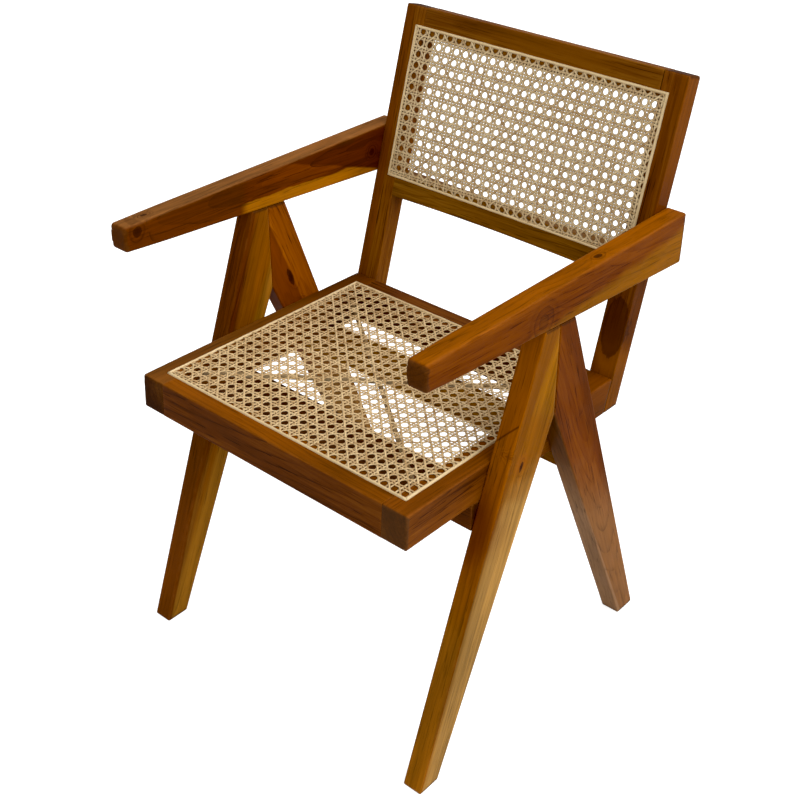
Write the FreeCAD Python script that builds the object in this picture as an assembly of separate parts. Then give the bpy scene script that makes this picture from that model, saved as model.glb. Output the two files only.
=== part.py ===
import FreeCAD, Part
import math
import os

from FreeCAD import Vector

# Armchair of solid teak with V-shaped side legs and woven-cane seat and back.
# Millimetres, +Z up. The sitter faces -Y, so +X is the sitter's left.
# Heights are measured from the floor, and places along Y from the front face of the seat frame,
# until every piece is moved back by frame_shift at the end.

# Seat frame: four rails in one plane that falls towards the back
seat_width = 454.0
seat_depth = 421.0
seat_front_height = 434.0
seat_fall = 13.5
rail_height = 49.0
side_rail_width = 38.0
front_rail_width = 38.0
back_rail_width = 46.0

# Back frame: two posts that lean back, a top rail and a lower rail between them
post_rise = 390.0
post_set_back = 106.0
post_thickness = 30.0
post_width = 36.0
back_top_rail_height = 41.0
lower_rail_height = 38.0
lower_rail_from_top = 274.0
lower_rail_arch = 3.5

# Side legs: a front and a rear leg meet on an upright joint under the arm and spread to the floor
leg_thickness = 28.0
front_foot_start = 3.0
foot_length = 37.0
rear_foot_start = 465.0
leg_joint_place = 239.0
leg_joint_length = 126.0
leg_joint_lean = 3.0
front_leg_top_width = 30.0
rear_leg_top_width = 32.0

# Arms
arm_width = 28.0
arm_overhang = 8.5
arm_front_height = 648.0
arm_fall = 8.0
arm_front_depth = 35.0
arm_rear_depth = 71.0

# Stretchers: flat bars under the side rails, flush with the front edges of the legs they join
stretcher_width = 43.0
front_stretcher_height = 39.0
rear_stretcher_height = 31.0

# Cane sheets, each held by a spline pressed into a groove round the opening
cane_thickness = 1.6
spline_width = 4.5
spline_rise = 2.2
groove_depth = 5.0
seat_spline_side_inset = 21.0
seat_spline_front_inset = 22.5
seat_spline_back_inset = 26.0
back_spline_side_inset = 22.0
back_spline_top_inset = 26.0
back_spline_bottom_inset = 28.0
seat_cane_columns = 17
seat_cane_rows = 16
back_cane_columns = 21
back_cane_rows = 11
cane_hole_share = 0.62

# Two straight strands cross under the seat cane, from side rail to side rail
strand_diameter = 7.0
strand_depth = 9.0
strand_seat_in_rail = 8.0
strand_back_inset = 7.0
strand_front_inset = 22.0

# Hidden dowels and screws
dowel_diameter = 8.0
glue_gap = 0.1
dowel_end_gap = 1.0
dowel_in_leg_joint = 20.0
leg_joint_dowel_shares = (0.5, 0.8)
arm_dowel_in_leg = 20.0
arm_dowel_in_arm = 18.0
dowel_in_post = 16.0
post_dowel_in_arm = 16.0
post_dowel_in_rail = 24.0
post_dowel_across_share = 0.42
dowel_in_side_rail = 14.0
dowel_in_cross_rail = 20.0
dowel_in_stretcher = 20.0
stretcher_dowel_in_leg = 15.0
stretcher_dowel_spacing = 16.0
rail_dowel_shares = (0.3, 0.7)
screw_diameter = 5.0
screw_head_diameter = 9.5
screw_head_height = 3.0
screw_recess = 12.0
screw_in_leg = 18.0
screw_spacing = 26.0
screw_hole_gap = 0.1

# Cuts run past the faces that they open by this much
overrun = 10.0

half_width = seat_width / 2
seat_tilt = math.asin(seat_fall / seat_depth)
post_lean = math.atan2(post_set_back, post_rise)
post_length = math.hypot(post_set_back, post_rise)
post_to_seat = post_lean - seat_tilt


def frame_at(y, z, turn):
    """A flat frame: its own v runs along the frame, its w stands out of the face."""
    return {"y": y, "z": z, "turn": turn}


seat_frame = frame_at(0, seat_front_height, -seat_tilt)
seat_rear_y = seat_depth * math.cos(seat_tilt)
seat_rear_z = seat_front_height - seat_fall
back_frame = frame_at(seat_rear_y, seat_rear_z, math.pi / 2 - post_lean)


def point(frame, v, w):
    """The (y, z) place of a point of a frame."""
    cosine, sine = math.cos(frame["turn"]), math.sin(frame["turn"])
    return (frame["y"] + v * cosine - w * sine, frame["z"] + v * sine + w * cosine)


def direction(frame, v, w):
    """The unit vector of a direction in a frame's own v and w."""
    cosine, sine = math.cos(frame["turn"]), math.sin(frame["turn"])
    return Vector(0, v * cosine - w * sine, v * sine + w * cosine)


def spot(frame, x, v, w):
    """The place in space of a point of a frame."""
    y, z = point(frame, v, w)
    return Vector(x, y, z)


def in_frame(frame, shape):
    """A shape drawn with v as Y and w as Z, put in its frame."""
    turn = FreeCAD.Rotation(Vector(1, 0, 0), math.degrees(frame["turn"]))
    placed = shape.copy()
    placed.Placement = FreeCAD.Placement(Vector(0, frame["y"], frame["z"]), turn)
    return placed


def prism(outline, x_from, x_to):
    """A solid with an outline of (y, z) points, between two places along X."""
    corners = [Vector(x_from, y, z) for y, z in outline]
    face = Part.Face(Part.makePolygon(corners + corners[:1]))
    return face.extrude(Vector(x_to - x_from, 0, 0))


def slab(outline, low, high):
    """A solid with an outline of (x, v) points, between two heights w."""
    corners = [Vector(x, v, low) for x, v in outline]
    face = Part.Face(Part.makePolygon(corners + corners[:1]))
    return face.extrude(Vector(0, 0, high - low))


def rod(start, along, length, diameter):
    return Part.makeCylinder(diameter / 2, length, start, along)


def mirrored(shape):
    return shape.mirror(Vector(0, 0, 0), Vector(1, 0, 0))


def cut_all(shape, tools):
    for tool in tools:
        shape = shape.cut(tool)
    return shape


# Arm lines, which the leg tops follow
post_rear_y = back_frame["y"] + post_thickness / math.cos(post_lean)
arm_front_y = -arm_overhang
arm_rear_height = arm_front_height - arm_fall
arm_rear_y = post_rear_y + (arm_rear_height - seat_rear_z) * math.tan(post_lean)
arm_length = arm_rear_y - arm_front_y


def arm_top(y):
    return arm_front_height - arm_fall * (y - arm_front_y) / arm_length


def arm_underside(y):
    share = (y - arm_front_y) / arm_length
    depth = arm_front_depth + (arm_rear_depth - arm_front_depth) * share
    return arm_top(y) - depth


def arm():
    outline = [
        (arm_front_y, arm_underside(arm_front_y)),
        (arm_rear_y, arm_underside(arm_rear_y)),
        (arm_rear_y, arm_top(arm_rear_y)),
        (arm_front_y, arm_top(arm_front_y)),
    ]
    return prism(outline, half_width, half_width + arm_width)


def under_arm(y):
    return (y, arm_underside(y))


joint_top = under_arm(leg_joint_place)
crotch = (leg_joint_place + leg_joint_lean, joint_top[1] - leg_joint_length)
front_leg_top = under_arm(leg_joint_place - front_leg_top_width)
rear_leg_top = under_arm(leg_joint_place + rear_leg_top_width)
front_foot_end = front_foot_start + foot_length
rear_foot_end = rear_foot_start + foot_length


def leg_edge(foot, top, z):
    """Where a straight leg edge from the floor to its top passes a height."""
    return foot + (top[0] - foot) * z / top[1]


def front_leg():
    outline = [(front_foot_start, 0), (front_foot_end, 0), crotch, joint_top, front_leg_top]
    return prism(outline, half_width, half_width + leg_thickness)


def rear_leg():
    outline = [(rear_foot_start, 0), (rear_foot_end, 0), rear_leg_top, joint_top, crotch]
    return prism(outline, half_width, half_width + leg_thickness)


# The side rails and the seat's back rail end in the plane of the posts' front faces
def seat_rear_end(w):
    return seat_depth + w * math.tan(post_to_seat)


def side_rail():
    outline = [
        point(seat_frame, 0, 0),
        point(seat_frame, seat_rear_end(0), 0),
        point(seat_frame, seat_rear_end(-rail_height), -rail_height),
        point(seat_frame, 0, -rail_height),
    ]
    return prism(outline, half_width - side_rail_width, half_width)


cross_rail_half = half_width - side_rail_width


def seat_front_rail():
    outline = [
        point(seat_frame, 0, 0),
        point(seat_frame, front_rail_width, 0),
        point(seat_frame, front_rail_width, -rail_height),
        point(seat_frame, 0, -rail_height),
    ]
    return prism(outline, -cross_rail_half, cross_rail_half)


def seat_back_rail():
    inner = seat_depth - back_rail_width
    outline = [
        point(seat_frame, inner, 0),
        point(seat_frame, seat_rear_end(0), 0),
        point(seat_frame, seat_rear_end(-rail_height), -rail_height),
        point(seat_frame, inner, -rail_height),
    ]
    return prism(outline, -cross_rail_half, cross_rail_half)


def back_post():
    # The post's foot is cut in line with the undersides of the side rails.
    front_foot = -rail_height / math.cos(post_to_seat)
    rear_foot = front_foot + post_thickness * math.tan(post_to_seat)
    outline = [
        point(back_frame, front_foot, 0),
        point(back_frame, post_length, 0),
        point(back_frame, post_length, -post_thickness),
        point(back_frame, rear_foot, -post_thickness),
    ]
    return prism(outline, half_width - post_width, half_width)


back_rail_half = half_width - post_width
lower_rail_low = post_length - lower_rail_from_top
lower_rail_high = lower_rail_low + lower_rail_height
top_rail_low = post_length - back_top_rail_height


def back_top_rail():
    outline = [
        point(back_frame, top_rail_low, 0),
        point(back_frame, post_length, 0),
        point(back_frame, post_length, -post_thickness),
        point(back_frame, top_rail_low, -post_thickness),
    ]
    return prism(outline, -back_rail_half, back_rail_half)


def back_lower_rail():
    # The lower edge rises in a long arc between the posts.
    left_low = Vector(-back_rail_half, lower_rail_low, 0)
    right_low = Vector(back_rail_half, lower_rail_low, 0)
    right_high = Vector(back_rail_half, lower_rail_high, 0)
    left_high = Vector(-back_rail_half, lower_rail_high, 0)
    middle = Vector(0, lower_rail_low + lower_rail_arch, 0)
    edges = [
        Part.Arc(left_low, middle, right_low).toShape(),
        Part.makeLine(right_low, right_high),
        Part.makeLine(right_high, left_high),
        Part.makeLine(left_high, left_low),
    ]
    board = Part.Face(Part.Wire(edges)).extrude(Vector(0, 0, -post_thickness))
    return in_frame(back_frame, board)


def rail_underside(y):
    low_y, low_z = point(seat_frame, 0, -rail_height)
    return low_z - (y - low_y) * math.tan(seat_tilt)


def stretcher_bar(foot, top, height):
    """The place of a stretcher: its lower front edge meets the front edge of its leg."""
    lean = (top[0] - foot) / top[1]
    fall = math.tan(seat_tilt)
    bottom = (rail_underside(foot) - height) / (1 + lean * fall)
    return {"start": leg_edge(foot, top, bottom), "bottom": bottom, "height": height}


front_bar = stretcher_bar(front_foot_start, front_leg_top, front_stretcher_height)
rear_bar = stretcher_bar(rear_foot_start, crotch, rear_stretcher_height)


def stretcher(bar):
    # The top lies against the undersides of the side rails.
    start, bottom = bar["start"], bar["bottom"]
    end = start + stretcher_width
    outline = [(start, bottom), (end, bottom), (end, rail_underside(end)), (start, rail_underside(start))]
    return prism(outline, -half_width, half_width)


# Cane sheet and spline, drawn in the plane of the frame that carries them
def spline_ring(x_edge, v_low, v_high):
    """Outer and inner corner points of the groove round an opening."""
    outer = [(-x_edge, v_low), (x_edge, v_low), (x_edge, v_high), (-x_edge, v_high)]
    inner_x = x_edge - spline_width
    inner_low, inner_high = v_low + spline_width, v_high - spline_width
    inner = [(-inner_x, inner_low), (inner_x, inner_low), (inner_x, inner_high), (-inner_x, inner_high)]
    return outer, inner


def groove(ring, frame):
    outer, inner = ring
    trench = slab(outer, -groove_depth, overrun).cut(slab(inner, -groove_depth, overrun))
    return in_frame(frame, trench)


def spline_bar(ring, frame, side):
    """One mitred side of the spline: 0 low, 1 at +X, 2 high, 3 at -X."""
    outer, inner = ring
    after = (side + 1) % len(outer)
    outline = [outer[side], outer[after], inner[after], inner[side]]
    return in_frame(frame, slab(outline, -groove_depth, spline_rise))


def cane_sheet(ring, frame, columns, rows):
    """A flat net of open squares that fills the inside of the spline."""
    _, inner = ring
    width = inner[1][0] - inner[0][0]
    height = inner[2][1] - inner[1][1]
    pitch_x, pitch_v = width / columns, height / rows
    hole_x, hole_v = pitch_x * cane_hole_share / 2, pitch_v * cane_hole_share / 2
    wires = [Part.makePolygon([Vector(x, v, 0) for x, v in inner + inner[:1]])]
    for column in range(columns):
        for row in range(rows):
            x = inner[0][0] + (column + 0.5) * pitch_x
            v = inner[0][1] + (row + 0.5) * pitch_v
            wires.append(cane_hole(x, v, hole_x, hole_v))
    sheet = Part.Face(wires).extrude(Vector(0, 0, cane_thickness))
    return in_frame(frame, sheet)


def cane_hole(x, v, half_x, half_v):
    # The corners run against those of the outline, which makes the wire a hole.
    signs = [(1, 1), (1, -1), (-1, -1), (-1, 1), (1, 1)]
    return Part.makePolygon([Vector(x + i * half_x, v + j * half_v, 0) for i, j in signs])


seat_ring = spline_ring(
    half_width - seat_spline_side_inset,
    seat_spline_front_inset,
    seat_depth - seat_spline_back_inset,
)
back_ring = spline_ring(
    half_width - back_spline_side_inset,
    lower_rail_low + back_spline_bottom_inset,
    post_length - back_spline_top_inset,
)


def strand(side, depth):
    """A straight strand from the front of one side rail to the back of the other."""
    start = spot(seat_frame, -side * cross_rail_half, front_rail_width + strand_front_inset, -depth)
    end = spot(seat_frame, side * cross_rail_half, seat_depth - back_rail_width - strand_back_inset, -depth)
    along = end - start
    reach = along.Length * strand_seat_in_rail / seat_width
    along.normalize()
    return rod(start - along * reach, along, (end - start).Length + 2 * reach, strand_diameter)


# Hidden dowels: each is a rod and a hole that is a little wider and longer
def dowel(middle, along, before, after):
    """A dowel that reaches before and after the joint face at middle."""
    along = Vector(along)
    along.normalize()
    start = middle - along * before
    return {
        "rod": rod(start, along, before + after, dowel_diameter),
        "hole": rod(
            start - along * dowel_end_gap, along,
            before + after + 2 * dowel_end_gap, dowel_diameter + 2 * glue_gap,
        ),
    }


def mirrored_pair(pieces):
    both = list(pieces)
    for piece in pieces:
        both.append({name: mirrored(shape) for name, shape in piece.items()})
    return both


def leg_joint_dowels():
    dowels = []
    for share in leg_joint_dowel_shares:
        y = joint_top[0] + (crotch[0] - joint_top[0]) * share
        z = joint_top[1] + (crotch[1] - joint_top[1]) * share
        middle = Vector(half_width + leg_thickness / 2, y, z)
        dowels.append(dowel(middle, Vector(0, 1, 0), dowel_in_leg_joint, dowel_in_leg_joint))
    return mirrored_pair(dowels)


def arm_leg_dowels():
    dowels = []
    for y in (leg_joint_place - front_leg_top_width / 2, leg_joint_place + rear_leg_top_width / 2):
        middle = Vector(half_width + leg_thickness / 2, y, arm_underside(y))
        dowels.append(dowel(middle, Vector(0, 0, 1), arm_dowel_in_leg, arm_dowel_in_arm))
    return mirrored_pair(dowels)


def arm_post_dowels():
    # The post's middle line, between the heights of the arm's underside and its top
    middle_y = (post_rear_y + back_frame["y"]) / 2
    low = arm_underside(arm_rear_y)
    dowels = []
    for share in rail_dowel_shares:
        z = low + (arm_rear_height - low) * share
        middle = Vector(half_width, middle_y + (z - seat_rear_z) * math.tan(post_lean), z)
        dowels.append(dowel(middle, Vector(1, 0, 0), dowel_in_post, post_dowel_in_arm))
    return mirrored_pair(dowels)


def post_rail_dowels():
    dowels = []
    x = half_width - post_width * post_dowel_across_share
    for share in rail_dowel_shares:
        w = -rail_height * share
        middle = spot(seat_frame, x, seat_rear_end(w), w)
        along = direction(seat_frame, 1, 0)
        dowels.append(dowel(middle, along, post_dowel_in_rail, dowel_in_post))
    return mirrored_pair(dowels)


def cross_dowels(frame, x, v, w, inwards, outwards):
    return dowel(spot(frame, x, v, w), Vector(1, 0, 0), inwards, outwards)


def seat_corner_dowels():
    dowels = []
    for v in (front_rail_width / 2, seat_depth - back_rail_width * 2 / 3):
        for share in rail_dowel_shares:
            w = -rail_height * share
            dowels.append(
                cross_dowels(seat_frame, cross_rail_half, v, w, dowel_in_cross_rail, dowel_in_side_rail)
            )
    return mirrored_pair(dowels)


def back_frame_dowels():
    dowels = []
    for low, high in ((top_rail_low, post_length), (lower_rail_low, lower_rail_high)):
        for share in rail_dowel_shares:
            v = low + (high - low) * share
            w = -post_thickness / 2
            dowels.append(
                cross_dowels(back_frame, back_rail_half, v, w, dowel_in_cross_rail, dowel_in_post)
            )
    return mirrored_pair(dowels)


def stretcher_dowels():
    dowels = []
    for bar in (front_bar, rear_bar):
        middle_y = bar["start"] + stretcher_width / 2
        z = bar["bottom"] + bar["height"] / 2
        for y in (middle_y - stretcher_dowel_spacing / 2, middle_y + stretcher_dowel_spacing / 2):
            middle = Vector(half_width, y, z)
            dowels.append(
                dowel(middle, Vector(1, 0, 0), dowel_in_stretcher, stretcher_dowel_in_leg)
            )
    return mirrored_pair(dowels)


def leg_screw(y, z):
    """A screw from a recess in the side rail's inner face out into the leg."""
    seat_x = cross_rail_half + screw_recess
    out = Vector(1, 0, 0)
    tip_x = half_width + screw_in_leg
    tip = screw_diameter
    shank = rod(Vector(seat_x, y, z), out, tip_x - tip - seat_x, screw_diameter)
    head = rod(Vector(seat_x - screw_head_height, y, z), out, screw_head_height, screw_head_diameter)
    point_cone = Part.makeCone(screw_diameter / 2, 0, tip, Vector(tip_x - tip, y, z), out)
    hole = rod(Vector(seat_x, y, z), out, tip_x - seat_x + dowel_end_gap, screw_diameter + 2 * screw_hole_gap)
    recess = rod(
        Vector(cross_rail_half - overrun, y, z), out,
        screw_recess + overrun, screw_head_diameter + 2 * screw_hole_gap,
    )
    return {"rod": shank.fuse(head).fuse(point_cone).removeSplitter(), "hole": hole.fuse(recess)}


def leg_rail_screws():
    z = seat_front_height - seat_fall / 2 - rail_height / 2
    front_y = (leg_edge(front_foot_start, front_leg_top, z) + leg_edge(front_foot_end, crotch, z)) / 2
    rear_y = (leg_edge(rear_foot_start, crotch, z) + leg_edge(rear_foot_end, rear_leg_top, z)) / 2
    screws = []
    for y in (front_y, rear_y):
        for offset in (-screw_spacing / 2, screw_spacing / 2):
            screws.append(leg_screw(y + offset, z))
    return mirrored_pair(screws)


fixings = {
    "leg_joint_dowels": leg_joint_dowels(),
    "arm_leg_dowels": arm_leg_dowels(),
    "arm_post_dowels": arm_post_dowels(),
    "post_rail_dowels": post_rail_dowels(),
    "seat_corner_dowels": seat_corner_dowels(),
    "back_frame_dowels": back_frame_dowels(),
    "stretcher_dowels": stretcher_dowels(),
    "leg_rail_screws": leg_rail_screws(),
}


def drilled(shape, *names):
    """A piece with the holes of the fixings that enter it."""
    for name in names:
        holes = [piece["hole"] for piece in fixings[name]]
        near = [hole for hole in holes if hole.BoundBox.intersect(shape.BoundBox)]
        shape = cut_all(shape, near)
    return shape


def left_and_right(parts, name, shape):
    parts[name + "_left"] = shape
    parts[name + "_right"] = mirrored(shape)


def build():
    parts = {}
    seat_groove = groove(seat_ring, seat_frame)
    back_groove = groove(back_ring, back_frame)
    strands = {
        "support_strand_upper": strand(1, strand_depth),
        "support_strand_lower": strand(-1, strand_depth + strand_diameter),
    }

    leg = drilled(front_leg(), "leg_joint_dowels", "arm_leg_dowels", "stretcher_dowels", "leg_rail_screws")
    left_and_right(parts, "front_leg", leg)
    leg = drilled(rear_leg(), "leg_joint_dowels", "arm_leg_dowels", "stretcher_dowels", "leg_rail_screws")
    left_and_right(parts, "rear_leg", leg)
    left_and_right(parts, "armrest", drilled(arm(), "arm_leg_dowels", "arm_post_dowels"))
    post = drilled(back_post(), "arm_post_dowels", "post_rail_dowels", "back_frame_dowels")
    left_and_right(parts, "back_post", post.cut(back_groove))

    for name, shape in (("back_top_rail", back_top_rail()), ("back_lower_rail", back_lower_rail())):
        parts[name] = drilled(shape, "back_frame_dowels").cut(back_groove)

    rail = drilled(side_rail(), "post_rail_dowels", "seat_corner_dowels", "leg_rail_screws")
    rail = rail.cut(seat_groove)
    parts["seat_side_rail_left"] = cut_all(rail, strands.values())
    parts["seat_side_rail_right"] = cut_all(mirrored(rail), strands.values())
    for name, shape in (("seat_front_rail", seat_front_rail()), ("seat_back_rail", seat_back_rail())):
        parts[name] = drilled(shape, "seat_corner_dowels").cut(seat_groove)

    parts["front_stretcher"] = drilled(stretcher(front_bar), "stretcher_dowels")
    parts["rear_stretcher"] = drilled(stretcher(rear_bar), "stretcher_dowels")

    parts["seat_cane"] = cane_sheet(seat_ring, seat_frame, seat_cane_columns, seat_cane_rows)
    parts["back_cane"] = cane_sheet(back_ring, back_frame, back_cane_columns, back_cane_rows)
    for side, name in enumerate(("front", "left", "back", "right")):
        parts["seat_spline_" + name] = spline_bar(seat_ring, seat_frame, side)
    for side, name in enumerate(("bottom", "left", "top", "right")):
        parts["back_spline_" + name] = spline_bar(back_ring, back_frame, side)
    parts.update(strands)

    for name, pieces in fixings.items():
        parts[name] = Part.Compound([piece["rod"] for piece in pieces])
    return parts


# The whole chair moves back so that the origin lies under the middle of its outline
back_top_rear_y = point(back_frame, post_length, -post_thickness)[0]
frame_shift = -(arm_front_y + back_top_rear_y) / 2

os.makedirs("parts", exist_ok=True)
for node, shape in build().items():
    shape = shape.copy()
    shape.translate(Vector(0, frame_shift, 0))
    shape.exportStep("parts/" + node + ".step")
    print(node, len(shape.Solids), round(shape.Volume))
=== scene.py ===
import math

import bpy
import numpy as np
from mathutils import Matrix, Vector


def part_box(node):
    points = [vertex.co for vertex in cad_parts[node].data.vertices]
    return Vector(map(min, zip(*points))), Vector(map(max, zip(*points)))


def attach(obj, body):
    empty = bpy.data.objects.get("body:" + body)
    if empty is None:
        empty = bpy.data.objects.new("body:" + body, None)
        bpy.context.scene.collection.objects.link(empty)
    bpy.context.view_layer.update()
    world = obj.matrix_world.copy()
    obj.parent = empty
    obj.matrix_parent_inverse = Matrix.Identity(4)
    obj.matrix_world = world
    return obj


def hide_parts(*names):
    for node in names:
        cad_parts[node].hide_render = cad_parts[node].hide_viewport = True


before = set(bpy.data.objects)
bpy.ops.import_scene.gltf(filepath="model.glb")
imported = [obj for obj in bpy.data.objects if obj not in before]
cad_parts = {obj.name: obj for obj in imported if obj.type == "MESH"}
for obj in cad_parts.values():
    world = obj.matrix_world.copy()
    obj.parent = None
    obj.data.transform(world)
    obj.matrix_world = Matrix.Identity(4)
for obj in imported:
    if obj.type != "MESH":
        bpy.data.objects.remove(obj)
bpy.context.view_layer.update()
scene = bpy.context.scene
mm = 0.001
print("frame loaded:", len(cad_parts), "pieces")


# Small tools for points and meshes

outline = {"looks": 1440, "turnedBy": 0.0013, "apart": 0.2}
waverParts = (1.0, 0.57, 0.31)


def unit(vectors):
    # every row divided by its own length
    return vectors / np.linalg.norm(vectors, axis=-1, keepdims=True)


def nodePoints(node):
    # all points of a CAD piece, one in each row
    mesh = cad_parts[node].data
    points = np.zeros(len(mesh.vertices) * 3)
    mesh.vertices.foreach_get("co", points)
    return points.reshape(-1, 3)


def sideOutline(node):
    # corners of a piece seen from the side: its furthest points in many directions, going round
    points = nodePoints(node)[:, 1:]
    turn = np.linspace(0, 2 * np.pi, outline["looks"], endpoint=False) + outline["turnedBy"]
    far = (points @ np.array([np.cos(turn), np.sin(turn)])).argmax(axis=0)
    corners = points[far]
    fresh = np.linalg.norm(corners - np.roll(corners, 1, axis=0), axis=1) > outline["apart"] * mm
    return corners[fresh]


def waver(place, seed, reach, wave=0.11):
    # a slow hand-made wander: three sine waves of unlike length added up
    phase = np.random.default_rng(seed).uniform(0, 2 * np.pi, 3)
    total = sum(np.sin(place * 2 * np.pi / (wave * part) + phase[i]) * part
                for i, part in enumerate(waverParts))
    return total * reach / sum(waverParts)


def facePlane(node, facing):
    # the flat face of a piece whose side outline looks most towards facing
    corners = sideOutline(node)
    after = np.roll(corners, -1, axis=0)
    run = unit(after - corners)
    normals = np.stack([run[:, 1], -run[:, 0]], axis=1)
    pick = (normals @ np.array(facing)).argmax()
    along, start = run[pick], corners[pick]
    if along.sum() < 0:
        along, start = -along, after[pick]
    return {"start": start, "along": along, "out": normals[pick]}


def onPlane(plane, points):
    # x, v along the face and w out of it, for points in space
    away = points[:, 1:] - plane["start"]
    return np.stack([points[:, 0], away @ plane["along"], away @ plane["out"]], axis=1)


def toSpace(plane, x, v, w):
    # points in space from x, v and w
    side = plane["start"] + v[..., None] * plane["along"] + w[..., None] * plane["out"]
    return np.concatenate([x[..., None], side], axis=-1)


def planeBox(plane, node):
    # the lowest and highest x, v and w of a piece
    flat = onPlane(plane, nodePoints(node))
    return flat.min(axis=0), flat.max(axis=0)


def tubeFaces(index, rings):
    # four-sided faces between each named ring of points and the one after it
    beside = np.roll(index, -1, axis=1)
    faces = [index[rings], index[rings + 1], beside[rings + 1], beside[rings]]
    return np.stack(faces, axis=-1).reshape(-1, 4)


def newObject(name, data):
    # an object in the scene's own collection
    made = bpy.data.objects.new(name, data)
    scene.collection.objects.link(made)
    return made


def makePiece(name, points, quads, caps, marks, material, slot, *replaced):
    # a mesh from its points, its four-sided faces and its many-sided end faces
    mesh = bpy.data.meshes.new(name)
    corners = np.concatenate([quads.ravel()] + [cap.ravel() for cap in caps])
    sizes = np.concatenate([np.full(len(quads), 4)] + [np.full(len(cap), cap.shape[1]) for cap in caps])
    starts = np.cumsum(sizes) - sizes
    mesh.vertices.add(len(points))
    mesh.loops.add(len(corners))
    mesh.polygons.add(len(sizes))
    mesh.vertices.foreach_set("co", points.astype(np.float32).ravel())
    mesh.loops.foreach_set("vertex_index", corners.astype(np.int32))
    mesh.polygons.foreach_set("loop_start", starts.astype(np.int32))
    mesh.update(calc_edges=True)
    mesh.shade_smooth()
    for mark, values in marks.items():
        flat = values.ndim == 1
        kept = mesh.attributes.new(mark, "FLOAT" if flat else "FLOAT_VECTOR", "POINT")
        kept.data.foreach_set("value" if flat else "vector", values.astype(np.float32).ravel())
    mesh.validate()
    piece = newObject(name, mesh)
    mesh.materials.append(material)
    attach(piece, "root")
    if replaced:
        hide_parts(*replaced)
    return piece


# Shader tools

def tint(red, green, blue):
    # a screen colour of 0 to 255 as the linear colour that shaders use
    share = np.array([red, green, blue]) / 255
    linear = np.where(share <= 0.04045, share / 12.92, ((share + 0.055) / 1.055) ** 2.4)
    return (*map(float, linear), 1.0)


def feed(tree, made, inputs):
    # each input of a node is linked if it comes from another node, and set if it is a value
    for key, value in inputs.items():
        if isinstance(value, bpy.types.NodeSocket):
            tree.links.new(value, made.inputs[key])
        else:
            made.inputs[key].default_value = value
    return made


def addNode(tree, kind, inputs=None, **settings):
    # a shader node with its settings and its inputs
    made = tree.nodes.new("ShaderNode" + kind)
    for key, value in settings.items():
        setattr(made, key, value)
    return feed(tree, made, inputs or {})


def calc(tree, operation, *terms, clamp=False):
    # one sum on numbers
    return addNode(tree, "Math", dict(enumerate(terms)), operation=operation, use_clamp=clamp).outputs[0]


def vectorCalc(tree, operation, *terms):
    # one sum on vectors, which gives a vector or, for a length or a dot product, a number
    made = addNode(tree, "VectorMath", dict(enumerate(terms)), operation=operation)
    return made.outputs[int(operation in ("LENGTH", "DOT_PRODUCT"))]


def blendColour(tree, share, first, second):
    # first where share is 0, second where it is 1
    return addNode(tree, "Mix", {0: share, 6: first, 7: second}, data_type="RGBA").outputs[2]


def spread(tree, value, low, high, newLow=0.0, newHigh=1.0, smooth=True):
    # the span from low to high drawn out to the span from newLow to newHigh, and held at its ends
    inputs = {0: value, 1: low, 2: high, 3: newLow, 4: newHigh}
    kind = "SMOOTHSTEP" if smooth else "LINEAR"
    return addNode(tree, "MapRange", inputs, interpolation_type=kind).outputs[0]


def noise(tree, place, rates, detail=2.0, rough=0.5):
    # clouds about one half, with the given number of swings in a metre along each way of the place
    turned = vectorCalc(tree, "MULTIPLY", place, rates)
    inputs = {"Vector": turned, "Scale": 1.0, "Detail": detail, "Roughness": rough}
    return addNode(tree, "TexNoise", inputs).outputs[0]


def newGroup(name, inputs, outputs):
    # a node group whose sockets are named by kind
    tree = bpy.data.node_groups.new(name, "ShaderNodeTree")
    for way, sockets in (("INPUT", inputs), ("OUTPUT", outputs)):
        for kind, keys in sockets.items():
            for key in keys.split():
                tree.interface.new_socket(name=key, in_out=way, socket_type="NodeSocket" + kind)
    return tree, tree.nodes.new("NodeGroupInput").outputs, tree.nodes.new("NodeGroupOutput")


def useGroup(tree, group, **values):
    # a group at work in a material, with its sockets linked or set by name
    return addNode(tree, "Group", values, node_tree=group).outputs


def mark(tree, name, output="Fac"):
    # what a mesh carries under a name, as a number or, by the output called Vector, as a place
    return addNode(tree, "Attribute", attribute_name=name).outputs[output]


def newMaterial(name):
    # an empty material, its node tree and its shader
    material = bpy.data.materials.new(name)
    material.use_nodes = True
    return material, material.node_tree, material.node_tree.nodes["Principled BSDF"]


def finishShader(tree, shader, colour, smudge, roughness, bump=None):
    # a colour, a roughness that swings with the smudge, and a bump of a strength, a depth in mm and a height
    feed(tree, shader, {"Base Color": colour, "Roughness": spread(tree, smudge, 0.3, 0.7, *roughness)})
    if bump:
        strength, depth, height = bump
        bump = addNode(tree, "Bump", {"Strength": strength, "Distance": depth * mm, "Height": height})
        feed(tree, shader, {"Normal": bump.outputs[0]})


# Teak grain: growth rings round a far pith, drawn out along the board, with clouds, streaks and pores.
# The pith runs at a slope under the board, which opens the rings into long arches on its faces.
# Rates are swings in a metre along, across and deep, then the detail and roughness of the noise;
# weights say how much of each part the tone takes, and limits are where a part starts and where it is full.
grainRates = {
    "bend": ((5, 13, 13), 1.5), "breaks": ((9, 70, 70), 2), "fine": ((12, 330, 330), 3, 0.65),
    "pores": ((24, 620, 620), 1.5), "dashes": ((15, 430, 430), 2, 0.6), "dashGroups": ((5, 32, 32), 1),
    "clouds": ((3, 13, 13), 1.5), "streaks": ((4.2, 112, 112), 3, 0.6), "smudge": ((18, 40, 40), 3),
}
grainWeights = {"clouds": 2.4, "streaks": 1.6, "line": -1.1, "year": 0.35, "fine": 1.4, "pore": -1.2,
                "dash": -1}
grainLimits = {"breaks": (-0.12, 0.12), "pores": (0.1, 0.2), "dashes": (0.1, 0.18),
               "dashGroups": (-0.04, 0.1)}
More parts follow.
